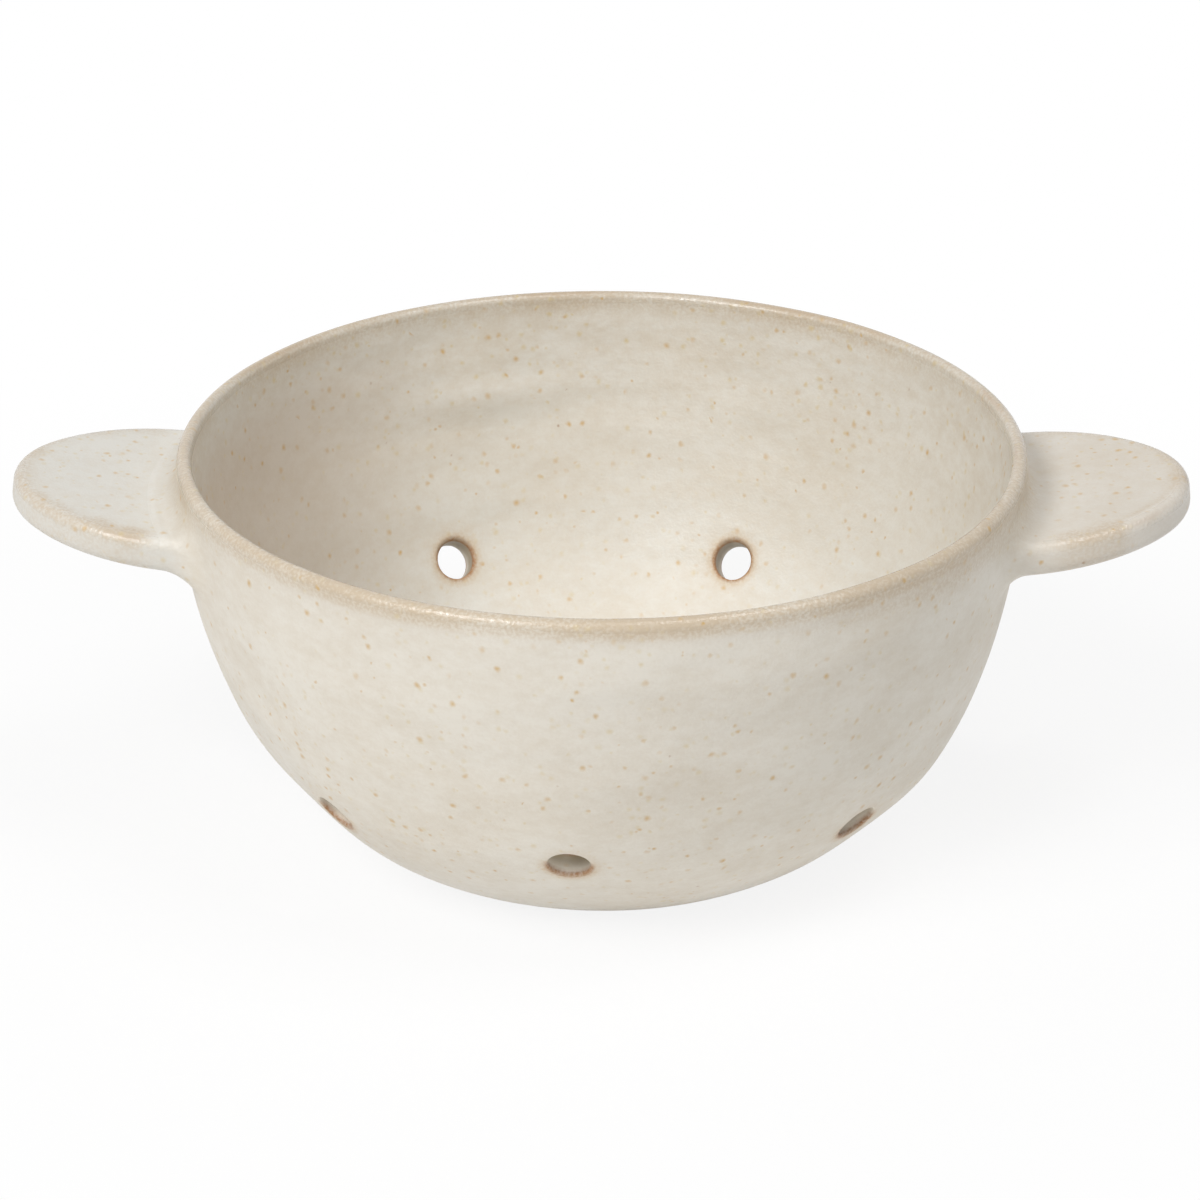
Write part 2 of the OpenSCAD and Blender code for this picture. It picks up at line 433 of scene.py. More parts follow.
def speckledGlaze(name, rings, toastAmount):
    material = bpy.data.materials.new(name)
    material.use_nodes = True
    tree = material.node_tree
    shader = tree.nodes["Principled BSDF"]
    corner = put(tree, "ShaderNodeTexCoord").outputs["Object"]
    place = vectorCalc(tree, "MULTIPLY", corner, (1 / mm, 1 / mm, 1 / mm))

    def effect(kind, **inputs):
        return put(tree, "ShaderNodeGroup", {"Place": place, **inputs}, node_tree=shared[kind]).outputs

    def mask(attribute):
        return put(tree, "ShaderNodeAttribute", attribute_name=attribute).outputs["Fac"]

    def times(value, factor):
        return calc(tree, "MULTIPLY", value, factor)

    def plus(value, other, clamp=False):
        return calc(tree, "ADD", value, other, clamp)

    def minus(value, other):
        return calc(tree, "SUBTRACT", value, other)

    wide, clouds, mottle, rust = (
        effect("clouds", **glaze[layer])["Cloud"] for layer in ("wide", "clouds", "mottle", "rust"))
    toast = effect("toast", Edge=mask("toastedEdge"), Line=mask("toastedLine"))
    spots = {kind: effect("speckles", **sizes)["Mask"] for kind, sizes in speckles.items()}
    fuzz = remap(tree, toast["Grain"], 0.0, 1.0, *glaze["fuzz"], smooth=False)
    nearRim = mask("insideUpper")
    pool = times(mask("glazePool"), remap(tree, clouds, 0.0, 1.0, *glaze["poolBreak"], smooth=False))
    pool = remap(tree, pool, *glaze["poolRange"])
    bare = mask("bareFoot")

    def moreNearRim(most, extra):
        return plus(times(nearRim, extra), most)

    # Milky and shaded glaze, warmer inside the rim and paler towards the floor
    blend = plus(times(wide, glaze["cloudShare"]), times(clouds, glaze["cloudShare"]))
    shadeMost = minus(moreNearRim(*glaze["shade"]), times(mask("calmGlaze"), glaze["calm"]))
    shadeAmount = times(blend, shadeMost)
    shadeAmount = plus(shadeAmount, times(minus(mottle, 0.5), moreNearRim(*glaze["mottling"])))
    shadeAmount = plus(shadeAmount, times(minus(toast["Grain"], 0.5), glaze["graining"]), clamp=True)
    colour = mixPaint(tree, mask("milkyGlaze"), glazeColours["cream"], glazeColours["milk"])
    rusty = times(remap(tree, rust, *glaze["rustRange"]), nearRim)
    layers = (
        (shadeAmount, "shade"),
        # painted warm bounce light on the left of the inside, and a pinker tone on the lugs
        (times(mask("pinkAndPaintedBounce"), glaze["pinkAndPaintedBounce"]), "pinkAndPaintedBounce"),
        (times(toast["Tan"], toastAmount), "tan"),
        (times(rusty, glaze["rusty"]), "tan"),
        (times(spots["faint"], moreNearRim(*glaze["faint"])), "faint"),
        (times(spots["strong"], glaze["strong"]), "iron"),
        (times(spots["dark"], glaze["dark"]), "dark"),
        (times(pool, glaze["pool"]), "pale"),
        (times(times(mask("paleLine"), fuzz), glaze["paleLine"]), "pale"),
        (times(toast["Burnt"], glaze["burnt"]), "burnt"),
        (times(times(mask("drainHalo"), fuzz), glaze["drainHalo"]), "drainHalo"),
        # painted shade deep inside the drains
        (mask("paintedBoreShade"), "paintedBoreShade"),
        (times(times(mask("drainRim"), fuzz), glaze["drainRim"]), "drainRim"),
        (bare, "bareClay"),
    )
    for amount, over in layers:
        colour = mixPaint(tree, amount, colour, glazeColours[over])
    tree.links.new(colour, shader.inputs["Base Color"])

    edgeGloss = mask("glossyEdge")
    rough = remap(tree, clouds, 0.0, 1.0, *glaze["rough"], smooth=False)
    rough = minus(rough, times(edgeGloss, glaze["edgeGloss"]))
    rough = plus(rough, times(bare, glaze["bareRough"]), clamp=True)
    tree.links.new(rough, shader.inputs["Roughness"])

    height = effect("surface", Dents=glaze["dents"], Rings=rings, Uneven=glaze["uneven"])["Height"]
    height = minus(height, times(spots["strong"], glaze["spotPit"]))
    grainHeight = plus(times(edgeGloss, glaze["edgeGrain"]), glaze["grainHeight"])
    height = plus(height, times(toast["Grain"], grainHeight))
    bump = put(tree, "ShaderNodeBump", {"Height": height, "Strength": 1.0, "Distance": mm})
    tree.links.new(bump.outputs["Normal"], shader.inputs["Normal"])
    return material


bowlGlaze = speckledGlaze("bowlGlaze", rings=0.14, toastAmount=0.85)
handleGlaze = speckledGlaze("handleGlaze", rings=0.0, toastAmount=0.7)
seamGlaze = speckledGlaze("seamGlaze", rings=0.0, toastAmount=0.85)
print("glazes mixed")


# Bowl: sizes in millimetres and degrees
_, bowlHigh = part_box("bowl_body")
rimRadius, fullHeight = bowlHigh.x / mm, bowlHigh.z / mm
bowl = {
    "baseRadius": 32.5,
    "wall": 3.8,
    "lip": 2.2,
    "lipOut": 1.3,
    "lipIn": 0.9,
    "baseLean": 65.0,
    "rimLean": 1.5,
    "floorHeight": 6.0,
    "floorCurve": 18.0,
    "footWidth": 6.0,
    "footHollow": 1.2,
    "footRound": 0.8,
    "turnSteps": 300,
    "step": 1.25,  # spacing of the rows, finer below the lip and over its edges
    "belowLip": 4.5,
    "belowLipStep": 0.3,
    "lipStep": 0.12,
    "weld": 0.005,
    "outsideFrom": 1.0,  # the outside's glaze takes over by this far in from the rim
    "lipToast": (0.0, 5.4),  # the tan band on the lip fades away between these depths outside
    "lipToastInside": (0.0, 6.0),
    "insideShare": 0.6,
    "lipToastFront": (-50.0, -5.0),  # places, front to back, between which it weakens and reaches lower
    "lipToastBack": (10.0, 45.0),  # and between which it gains again
    "lipTanAndShadeRight": (15.0, 50.0),  # places to the right between which it reaches lower, partly as painted shade below the lip beside the right handle
    "lipToastLower": 0.7,
    "lipToastLoss": 0.12,
    "lipToastGain": 0.25,
    "paleLine": (2.4, 3.2, 4.4),  # depths where a pale line begins, is full and ends
    "lipLine": (0.1, 0.45),  # the brown line along the lip's crest
    "lipLineIn": (0.59, 0.09),  # its place on the inner round, as shares of that radius
    "lipLineLoss": 0.7,
    "lipGloss": (1.2, 2.2),
    "warmInside": (6.0, 27.0),  # warmer glaze inside ends between these depths
    "paleInside": (16.0, 40.0),  # and paler glaze begins between these
    "milky": (0.4, 0.4),  # milkiness inside, and what it gains towards the floor
    "paintedBounceLeft": (20.0, 58.0),  # distances to the left between which painted warm bounce light turns the inside rosier
    "paintedBounceDepth": (0.0, 12.0),  # and depths between which it does
    "bareFoot": (0.1, 0.5),  # heights between which the bare clay ends
}
drains = {
    "radius": 3.0,
    "mouthRound": 0.4,
    "droop": 8.0,  # each bore slopes this much more steeply than the wall's normal
    "height": 18.0,
    "turns": (-103, -48, -5, 45, 103, 155, 208),  # from the front, towards the right
    "lifts": (0.2, -1.0, 0.2, -1.5, -0.4, 0.2, 0.8),
    "floorCount": 6,
    "floorRing": 13.0,
    "collar": 1.7,  # width of the even rings of faces round each mouth
    "collarRings": (1, 0.75, 0.5, 0.25),
    "gap": 0.5,  # room between the rings and the wall's own faces
    "past": 2.0,  # how far past its mouths a drain clears the wall
    "loopReach": 2.2,  # radii within which a mouth's open edges lie
    "turnSteps": 64,
    "roundSteps": 5,
    "boreStep": 0.5,
    "maskPast": 1.0,
    "straightDown": -0.99,  # drains that point further down than this are in the floor
    "burntFrom": (-1.6, 0.6),  # depths below a mouth's middle between which it turns burnt
    "rimLineIn": 0.15,  # the brown line lies this far inside the mouth
    "rimLine": (0.15, 0.8),
    "halo": (0.2, 2.2),
    "haloLeast": 0.3,
    "bore": (0.3, 2.4),  # depths below the outer mouth over which the bore's painted shade deepens
    "boreEdge": (0.0, 0.3),
}


def along(lean):
    return np.array([sin(radians(lean)), cos(radians(lean))])


def outward(lean):
    return np.array([cos(radians(lean)), -sin(radians(lean))])


# The outside is two arcs that run smoothly together, and the floor curves up into the lower one
basePoint = np.array([bowl["baseRadius"], 0.0])
lipRise = bowl["lipOut"] * (1 + sin(radians(bowl["rimLean"])))
rimPoint = np.array([rimRadius, fullHeight - lipRise])
span = rimPoint - basePoint
leanSum = along(bowl["baseLean"]) + along(bowl["rimLean"])
leanGap = along(bowl["baseLean"]) - along(bowl["rimLean"])
bend = leanGap @ leanGap
tangent = (sqrt((span @ leanSum) ** 2 + bend * (span @ span)) - span @ leanSum) / bend
meetPoint = (basePoint + rimPoint + tangent * leanGap) / 2


def arcToMeet(point, lean):
    chord = meetPoint - point
    radius = chord @ chord / (2 * outward(lean) @ -chord)
    return radius, point - radius * outward(lean)


lowRadius, lowCentre = arcToMeet(basePoint, bowl["baseLean"])
upRadius, upCentre = arcToMeet(rimPoint, bowl["rimLean"])
meetDirection = meetPoint - lowCentre
meetTurn = atan2(meetDirection[1], meetDirection[0])

# The lip is rounder outside than inside, and one arc thins the wall up to it
lipOutCentre = rimPoint - bowl["lipOut"] * outward(bowl["rimLean"])
lipInCentre = np.array([rimRadius - bowl["lip"] + bowl["lipIn"], fullHeight - bowl["lipIn"]])
meetNormal = meetDirection / lowRadius
thinPoint = meetPoint - bowl["wall"] * meetNormal
thinSpan = thinPoint - lipInCentre
thinRadius = (thinSpan @ thinSpan - bowl["lipIn"] ** 2) / (2 * (thinSpan @ meetNormal + bowl["lipIn"]))
thinCentre = thinPoint - thinRadius * meetNormal
touchDirection = lipInCentre - thinCentre
touchTurn = atan2(touchDirection[1], touchDirection[0])

# The inside curve touches the floor and the lower arc's inner face
curveHeight = bowl["floorHeight"] + bowl["floorCurve"]
curveGap = lowRadius - bowl["wall"] - bowl["floorCurve"]
curveSide = sqrt(curveGap ** 2 - (curveHeight - lowCentre[1]) ** 2)
curveCentre = np.array([lowCentre[0] + curveSide, curveHeight])
curveDirection = curveCentre - lowCentre
curveTurn = atan2(curveDirection[1], curveDirection[0])
footInside = bowl["baseRadius"] - bowl["footWidth"]

# Each drain as the middle of its outer mouth, its direction outwards and its length
drainLines = []
for turn, lift in zip(drains["turns"], drains["lifts"]):
    drainHeight = drains["height"] + lift
    drainOut = sqrt(lowRadius ** 2 - (drainHeight - lowCentre[1]) ** 2)
    level = Vector((sin(radians(turn)), -cos(radians(turn)), 0))
    place = level * (lowCentre[0] + drainOut) + Vector((0, 0, drainHeight))
    normal = (level * drainOut + Vector((0, 0, drainHeight - lowCentre[1]))) / lowRadius
    slope = atan2(lowCentre[1] - drainHeight, drainOut) + radians(drains["droop"])
    axis = level * cos(slope) - Vector((0, 0, sin(slope)))
    drainLines.append((place + (axis - normal) * bowl["wall"] / 2, axis, bowl["wall"]))
floorTurns = [2 * pi * k / drains["floorCount"] for k in range(drains["floorCount"])]
floorDrains = [Vector((cos(turn), sin(turn), 0)) * drains["floorRing"] for turn in floorTurns]
for place in floorDrains + [Vector((0, 0, 0))]:
    place.z = bowl["footHollow"]
    drainLines.append((place, Vector((0, 0, -1)), bowl["floorHeight"] - bowl["footHollow"]))


def anticlockwise(direction, right, up):
    return direction[0] * up - direction[1] * right > 0


# Distance outside the clay of the thrown bowl, before the drains are cut
def clayField(points):
    out = np.hypot(points[:, 0], points[:, 1])
    up = points[:, 2]
    centres = (lowCentre, upCentre, curveCentre, thinCentre)
    fromLow, fromUp, fromCurve, fromThin = (np.hypot(out - x, up - z) for x, z in centres)
    upper = anticlockwise(meetDirection, out - lowCentre[0], up - lowCentre[1])
    rising = anticlockwise(curveDirection, out - curveCentre[0], up - curveCentre[1])
    outside = np.where(upper, fromUp - upRadius, fromLow - lowRadius)
    inside = np.where(upper, thinRadius - fromThin, lowRadius - bowl["wall"] - fromLow)
    inside = np.where(rising, inside, bowl["floorCurve"] - fromCurve)
    inside = np.where((out < curveCentre[0]) & (up < curveHeight), up - bowl["floorHeight"], inside)
    overTop = up - fullHeight
    lipOutside = roundedEdge(outside, overTop, bowl["lipOut"])
    lipInside = roundedEdge(inside, overTop, bowl["lipIn"])
    clay = roundedEdge(np.maximum(lipOutside, lipInside), -up, bowl["footRound"])
    hollow = np.maximum(up - bowl["footHollow"], (out + up - footInside) / sqrt(2))
    return np.maximum(clay, -hollow)


# Radius of the middle of the wall at each height
def wallMiddle(up):
    lowSquare = (lowRadius - bowl["wall"] / 2) ** 2 - (up - lowCentre[1]) ** 2
    highSquare = (upRadius - bowl["lip"] / 2) ** 2 - (up - upCentre[1]) ** 2
    low = lowCentre[0] + np.sqrt(np.maximum(lowSquare, 0))
    high = upCentre[0] + np.sqrt(np.maximum(highSquare, 0))
    return np.where(up < meetPoint[1], low, high)


# Distances along a drain's axis and across it
def drainPlace(points, place, axis):
    offset = points - np.array(place)
    forward = offset @ np.array(axis)
    return forward, np.sqrt(np.maximum((offset ** 2).sum(axis=1) - forward ** 2, 0))


# Which points lie between a drain's mouths, or no further past them than this
def besideDrain(forward, length, past):
    return np.abs(forward + length / 2) < length / 2 + past


def drainField(points):
    gaps = [drains["radius"] - drainPlace(points, place, axis)[1] for place, axis, _ in drainLines]
    return np.max(gaps, axis=0)


def bowlField(points):
    return roundedEdge(clayField(points), drainField(points), drains["mouthRound"])


def throwBowl():
    bm = bmesh.new()
    wheel = (0, -1, 0)  # arcs of the profile turn in the upright plane through the axis
    step, fineStep, lipStep = bowl["step"], bowl["belowLipStep"], bowl["lipStep"]

    def arcOn(vert, centre, turn, step=step):
        return sweepArc(bm, vert, (centre[0], 0, centre[1]), wheel, turn, step)

    vert = bm.verts.new((0, 0, bowl["footHollow"]))
    vert = lineTo(bm, vert, (footInside - bowl["footHollow"], 0, bowl["footHollow"]), step)
    vert = lineTo(bm, vert, (footInside, 0, 0), fineStep)
    vert = lineTo(bm, vert, (basePoint[0], 0, 0), 2 * fineStep)
    outerFine = bowl["belowLip"] / upRadius
    innerFine = bowl["belowLip"] / thinRadius
    vert = arcOn(vert, lowCentre, meetTurn + radians(bowl["baseLean"]))
    vert = arcOn(vert, upCentre, -meetTurn - radians(bowl["rimLean"]) - outerFine)
    vert = arcOn(vert, upCentre, outerFine, fineStep)
    vert = arcOn(vert, lipOutCentre, pi / 2 + radians(bowl["rimLean"]), lipStep)
    vert = lineTo(bm, vert, (lipInCentre[0], 0, fullHeight), lipStep)
    vert = arcOn(vert, lipInCentre, pi / 2 + touchTurn, lipStep)
    vert = arcOn(vert, thinCentre, -innerFine, fineStep)
    vert = arcOn(vert, thinCentre, meetTurn - touchTurn + innerFine)
    vert = arcOn(vert, lowCentre, curveTurn - meetTurn)
    vert = arcOn(vert, curveCentre, -pi / 2 - curveTurn)
    lineTo(bm, vert, (0, 0, bowl["floorHeight"]), step)
    turnRound(bm, (0, 0, 0), (0, 0, 1), bowl["turnSteps"])
    weld(bm, bowl["weld"])
    verts = bm.verts[:]
    points = np.array([vert.co for vert in verts])
    doomed = [face for line in drainLines for k in inTheWay(points, *line)
              for face in verts[k].link_faces]
    bmesh.ops.delete(bm, geom=list(dict.fromkeys(doomed)), context="FACES")
    for line in drainLines:
        bm.from_mesh(lineDrain(*line))
    rims = [edge for edge in bm.edges if edge.is_boundary]
    for line in drainLines:
        for loops in mouthLoops(rims, *line):
            bmesh.ops.bridge_loops(bm, edges=loops)
    return closedMesh(bm, "thrownBowl")


# Points of the wall or floor that are in the way of a drain and its collars
def inTheWay(points, place, axis, length):
    forward, across = drainPlace(points, place, axis)
    reach = drains["radius"] + drains["collar"] + drains["gap"]
    return np.nonzero(besideDrain(forward, length, drains["past"]) & (across < reach))[0]


# Open edges round a drain's outer mouth and round its inner mouth
def mouthLoops(rims, place, axis, length):
    middles = np.array([(edge.verts[0].co + edge.verts[1].co) / 2 for edge in rims])
    forward, across = drainPlace(middles, place, axis)
    inReach = besideDrain(forward, length, drains["past"])
    inReach &= across < drains["loopReach"] * drains["radius"]
    for outside in (True, False):
        yield [rims[k] for k in np.nonzero(inReach & ((forward > -length / 2) == outside))[0]]


# A drain's bore with its two rounded mouths and collars, turned about its axis
def lineDrain(place, axis, length):
    bm = bmesh.new()
    radius, soft = drains["radius"], drains["mouthRound"]
    quarter = [pi / 2 * k / drains["roundSteps"] for k in range(drains["roundSteps"] + 1)]
    mouth = [(radius + soft + (drains["collar"] - soft) * share, 0.0) for share in drains["collarRings"]]
    mouth += [(radius + soft * (1 - sin(a)), -soft * (1 - cos(a))) for a in quarter]
    steps = ceil((length - 2 * soft) / drains["boreStep"])
    bore = [(radius, -soft - (length - 2 * soft) * k / steps) for k in range(1, steps)]
    profile = mouth + bore + [(across, -length - forward) for across, forward in reversed(mouth)]
    sideways = axis.orthogonal().normalized()
    spots = [place + sideways * across + axis * forward for across, forward in profile]
    vert = bm.verts.new(spots[0])
    for spot in spots[1:]:
        vert = lineTo(bm, vert, spot)
    turnRound(bm, place, axis, drains["turnSteps"])
    return meshOf(bm, "drain")


# An outer mouth is burnt along its lower edge only, and painted shade darkens a bore away from it
def mouthMasks(points):
    burnt = np.ones(len(points))
    dark = np.zeros(len(points))
    for place, axis, length in drainLines:
        forward, across = drainPlace(points, place, axis)
        near = besideDrain(forward, length, drains["maskPast"])
        near &= across < drains["radius"] + drains["collar"]
        # painted shade, deeper away from the outer mouth
        dark[near] = fadeIn(-forward[near], *drains["bore"])
        if axis.z > drains["straightDown"]:
            outside = near & (forward > -length / 2)
            burnt[outside] = fadeIn(place.z - points[outside, 2], *drains["burntFrom"])
    return burnt, dark


# Tan glaze on the outside of the lip; towards the right handle it reaches lower, partly as painted shade
def outerLipToast(points):
    towardsBack = fadeIn(points[:, 1], *bowl["lipToastFront"])
    # on the right the tan stands partly for painted shade under the lip beside the handle
    towardsRight = fadeIn(points[:, 0], *bowl["lipTanAndShadeRight"])
    lower = bowl["lipToastLower"]
    depth = (fullHeight - points[:, 2]) / (1 + lower * towardsBack + lower * towardsRight)
    return 1 - fadeIn(depth, *bowl["lipToast"])


# Share of the lip's tan that is left towards the sides and the back
def lipToastShare(points):
    towardsBack = fadeIn(points[:, 1], *bowl["lipToastFront"])
    atBack = fadeIn(points[:, 1], *bowl["lipToastBack"])
    return 1 - bowl["lipToastLoss"] * towardsBack + bowl["lipToastGain"] * atBack


bowlMesh = throwBowl()
bowlPoints = settle(pointsOf(bowlMesh), bowlField)
clay, drain = clayField(bowlPoints), drainField(bowlPoints)
fromAxis = np.hypot(bowlPoints[:, 0], bowlPoints[:, 1])
depth = fullHeight - bowlPoints[:, 2]
inside = fromAxis < wallMiddle(bowlPoints[:, 2])
lipInside = rimRadius - bowl["lip"]
outer = fadeIn(fromAxis, lipInside, rimRadius - bowl["outsideFrom"])
innerToast = bowl["insideShare"] * (1 - fadeIn(depth, *bowl["lipToastInside"]))
lipToast = outer * outerLipToast(bowlPoints) + (1 - outer) * innerToast
towardsBack = fadeIn(bowlPoints[:, 1], *bowl["lipToastFront"])
paleBand = fadeIn(depth, *bowl["paleLine"][:2]) * (1 - fadeIn(depth, *bowl["paleLine"][1:]))
lineIn, lineDown = (share * bowl["lipIn"] for share in bowl["lipLineIn"])
lipAway = np.hypot(fromAxis - (lipInside + lineIn), depth - lineDown)
milky, milkyGain = bowl["milky"]
# Painted warm bounce light: the left of the inside, away from the key lamp, turns rosier below the rim
paintedBounce = fadeIn(-bowlPoints[:, 0], *bowl["paintedBounceLeft"]) * fadeIn(depth, *bowl["paintedBounceDepth"])
burnt, dark = mouthMasks(bowlPoints)
mouthAway = np.hypot(clay, drain)
lineAway = np.hypot(clay + drains["rimLineIn"], drain)
haloShare = drains["haloLeast"] + (1 - drains["haloLeast"]) * burnt
bowlMasks = {
    "toastedEdge": lipToast * lipToastShare(bowlPoints),
    "paleLine": outer * (1 - towardsBack) * paleBand,
    "toastedLine": (1 - fadeIn(lipAway, *bowl["lipLine"])) * (1 - bowl["lipLineLoss"] * towardsBack),
    "glossyEdge": 1 - fadeIn(depth, *bowl["lipGloss"]),
    "insideUpper": np.where(inside, 1 - fadeIn(depth, *bowl["warmInside"]), 0),
    "milkyGlaze": np.where(inside, milky + milkyGain * fadeIn(depth, *bowl["paleInside"]), 0),
    # painted warm bounce light on the inside
    "pinkAndPaintedBounce": np.where(inside, paintedBounce, 0),
    "drainRim": (1 - fadeIn(lineAway, *drains["rimLine"])) * burnt,
    "drainHalo": np.where(clay > drain, 1 - fadeIn(mouthAway, *drains["halo"]), 0) * haloShare,
    # painted shade in the bores, fading out at the inner mouth
    "paintedBoreShade": np.where(drain > clay, dark * fadeIn(-clay, *drains["boreEdge"]), 0),
    "bareFoot": 1 - fadeIn(bowlPoints[:, 2], *bowl["bareFoot"]),
}
finishPiece("thrown_bowl", "bowl_body", bowlMesh, bowlPoints, bowlMasks, bowlGlaze)


# Lug handles: made flat, then tilted up and set on the wall
lug = {
    "halfWidth": 21.0,
    "thick": 5.2,
    "overEdge": 1.5,
    "underEdge": 2.0,
    "sunk": 1.2,  # depth of the root inside the wall
    "voxel": 0.42,
    "arcStep": 0.8,
    "weld": 0.01,
    "toast": (-4.5, -0.6),  # tan glaze begins between these distances from the outline
    "wander": 1.6,  # the tan's inner border wanders by about this much
    "wanderSize": 6.0,
    "wanderNoise": (1.0, 2.0, 3),
    "toastTop": (0.5, 2.2),  # heights between which the tan gains its full strength
    "toastBack": (0.0, 15.0),  # places, front to back, between which it weakens
    "toastBackLoss": 0.5,
    "toastRoot": (0.5, 6.0),  # the tan fades away towards the wall between these
    "crest": 0.5,  # the upper edge's crest is this far in from the outline and the top
    "line": (0.1, 0.6),  # distances from the crest
    "lineShare": 0.35,
    "gloss": (0.8, 1.8),
    "poolTurn": (-80.0, -56.0, -26.0, 6.0),  # turns about the tip where thick glaze lies on the edge
    "poolEdge": (-3.6, -0.6),
}
lugSides = {
    # The pink share gives each lug a pinker tone, in the colour that paints warm bounce light inside the
    # bowl
    "left": {
        "reach": 24.5, "tip": 17.5, "drop": 9.4, "tilt": 7.0,
        "toast": 0.4, "milky": 0.9, "calm": 1.0, "pinkAndPaintedBounce": 0.08,
    },
    "right": {
        "reach": 24.1, "tip": 18.2, "drop": 9.9, "tilt": 6.3,
        "toast": 0.5, "milky": 0.6, "calm": 0.1, "pinkAndPaintedBounce": 0.3,
    },
}
rootRadius = rimRadius - lug["sunk"]


def lugCurves(side):
    reach, tip, half = side["reach"], side["tip"], lug["halfWidth"]
    sideRadius = (reach ** 2 + half ** 2 - 2 * reach * tip) / (2 * (half - tip))
    split = atan2(sideRadius - half, reach - tip)
    return sideRadius, split


# Distance outside the flat lug's outline, seen from above
def outlineGap(points, side):
    sideRadius, split = lugCurves(side)
    half, tip = lug["halfWidth"], side["tip"]
    tipOut = side["reach"] - tip
    out, across = points[:, 0], np.abs(points[:, 1])
    sideGap = np.hypot(np.maximum(out, 0), across + sideRadius - half) - sideRadius
    tipGap = np.hypot(out - tipOut, across) - tip
    onSide = anticlockwise((cos(split), sin(split)), out - tipOut, across)
    return np.where(onSide, sideGap, tipGap)


def lugField(points, side):
    edge = outlineGap(points, side)
    over = roundedEdge(edge, points[:, 2] - lug["thick"] / 2, lug["overEdge"])
    under = roundedEdge(edge, -points[:, 2] - lug["thick"] / 2, lug["underEdge"])
    root = rootRadius - np.hypot(points[:, 0] + rimRadius, points[:, 1])
    return np.maximum(np.maximum(over, under), root)


def cutLug(side):
    sideRadius, split = lugCurves(side)
    half, tip = lug["halfWidth"], side["tip"]
    rootOut = sqrt(rootRadius ** 2 - half ** 2) - rimRadius
    rootTurn = 2 * atan2(half, rootOut + rimRadius)
    bm = bmesh.new()
    step = lug["arcStep"]
    turning = (0, 0, 1)
    vert = bm.verts.new((rootOut, -half, 0))
    vert = lineTo(bm, vert, (0, -half, 0))
    vert = sweepArc(bm, vert, (0, sideRadius - half, 0), turning, pi / 2 - split, step)
    vert = sweepArc(bm, vert, (side["reach"] - tip, 0, 0), turning, 2 * split, step)
    vert = sweepArc(bm, vert, (0, half - sideRadius, 0), turning, pi / 2 - split, step)
    vert = lineTo(bm, vert, (rootOut, half, 0))
    sweepArc(bm, vert, (-rimRadius, 0, 0), turning, -rootTurn, step)
    weld(bm, lug["weld"])
    outline = bmesh.ops.edgeloop_fill(bm, edges=bm.edges[:])["faces"]
    bmesh.ops.translate(bm, verts=bm.verts[:], vec=(0, 0, -lug["thick"] / 2))
    raised = bmesh.ops.extrude_face_region(bm, geom=outline, use_keep_orig=True)["geom"]
    topVerts = [item for item in raised if isinstance(item, bmesh.types.BMVert)]
    bmesh.ops.translate(bm, verts=topVerts, vec=(0, 0, lug["thick"]))
    return closedMesh(bm, "lug")


# From the flat lug's own place to its place on the wall
def onWall(points, side):
    tilt = radians(side["tilt"])
    placed = points.copy()
    placed[:, 0] = rimRadius + points[:, 0] * cos(tilt) - points[:, 2] * sin(tilt)
    placed[:, 2] = fullHeight - side["drop"] + points[:, 0] * sin(tilt) + points[:, 2] * cos(tilt)
    return placed


# And back from the wall to the flat lug's own place
def offWall(points, side):
    tilt = radians(side["tilt"])
    out = points[:, 0] - rimRadius
    up = points[:, 2] - fullHeight + side["drop"]
    flat = points.copy()
    flat[:, 0] = out * cos(tilt) + up * sin(tilt)
    flat[:, 2] = up * cos(tilt) - out * sin(tilt)
    return flat


# Tan glaze along the outline, weaker on the edge's side, at the back and towards the wall
def lugToast(flat, side):
    size, kind = lug["wanderSize"], lug["wanderNoise"]
    wander = np.array([noise.fractal(Vector(point) / size, *kind) for point in flat])
    border = fadeIn(outlineGap(flat, side) + wander * lug["wander"], *lug["toast"])
    sideShare = side["toast"] + (1 - side["toast"]) * fadeIn(flat[:, 2], *lug["toastTop"])
    backShare = 1 - lug["toastBackLoss"] * fadeIn(flat[:, 1], *lug["toastBack"])
    return border * sideShare * backShare * fadeIn(flat[:, 0], *lug["toastRoot"])


# The left side is made like the right one and mirrored
def toItsSide(mesh, points, sideName):
    if sideName == "left":
        points[:, 0] *= -1
        mesh.flip_normals()


for sideName, side in lugSides.items():
    lugMesh = evenSkin(cutLug(side), lug["voxel"])
    flat = settle(pointsOf(lugMesh), lambda points: lugField(points, side))
    outline = outlineGap(flat, side)
    crest = np.hypot(outline + lug["crest"], lug["thick"] / 2 - lug["crest"] - flat[:, 2])
    toast = lugToast(flat, side)
    lugMasks = {
        "toastedEdge": toast,
        "toastedLine": lug["lineShare"] * (1 - fadeIn(crest, *lug["line"])) * toast,
        "glossyEdge": 1 - fadeIn(crest, *lug["gloss"]),
        "milkyGlaze": np.full(len(flat), side["milky"]),
        "calmGlaze": np.full(len(flat), side["calm"]),
        # pinker tone of the lug
        "pinkAndPaintedBounce": np.full(len(flat), side["pinkAndPaintedBounce"]),
    }
    if sideName == "right":
        tipTurn = np.degrees(np.arctan2(flat[:, 1], flat[:, 0] - side["reach"] + side["tip"]))
        start, full, fading, end = lug["poolTurn"]
        pooled = fadeIn(tipTurn, start, full) * (1 - fadeIn(tipTurn, fading, end))
        lugMasks["glazePool"] = pooled * fadeIn(outline, *lug["poolEdge"])
    placed = onWall(flat, side)
    toItsSide(lugMesh, placed, sideName)
    finishPiece(sideName + "_lug", sideName + "_handle", lugMesh, placed, lugMasks, handleGlaze)


